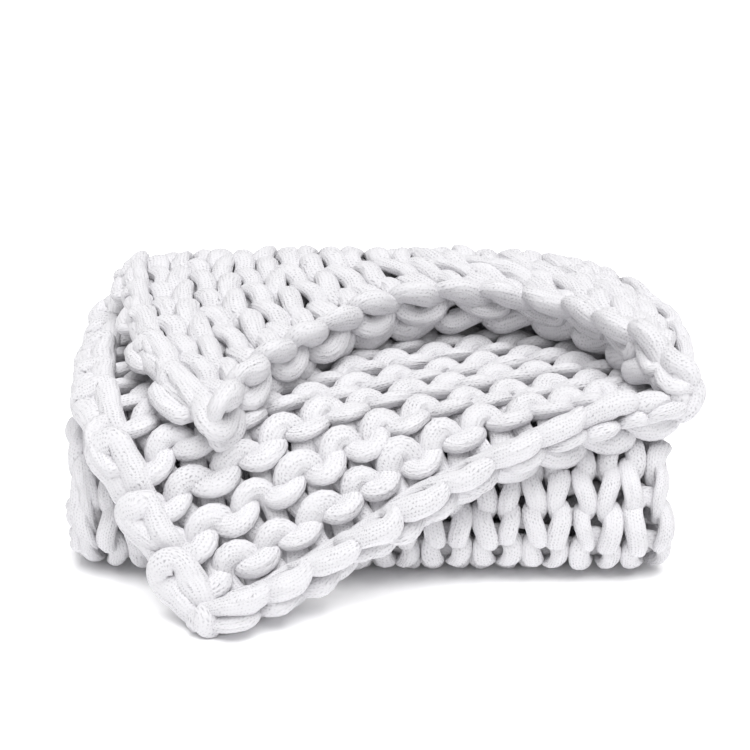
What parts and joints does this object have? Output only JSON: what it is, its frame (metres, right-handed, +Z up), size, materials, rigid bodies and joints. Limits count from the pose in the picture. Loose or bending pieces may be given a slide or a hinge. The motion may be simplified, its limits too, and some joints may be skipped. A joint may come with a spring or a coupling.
{
  "type": "chunky knit throw",
  "caption": "Chunky knit throw folded in half and then in three, with its upper layer drawn back and one corner hanging down the front to the floor.",
  "frame": {"origin": "centre of the bounding box on the surface that the pile rests on", "axes": "+Z up, +X to the right along the front of the pile, +Y from the front to the back"},
  "size_m": [0.6915, 0.5683, 0.2756],
  "materials": {
    "white_cotton_yarn": "matte knitted tube yarn"
  },
  "bodies": {
    "root": {"knit_throw": "white_cotton_yarn"}
  },
  "joints": []
}
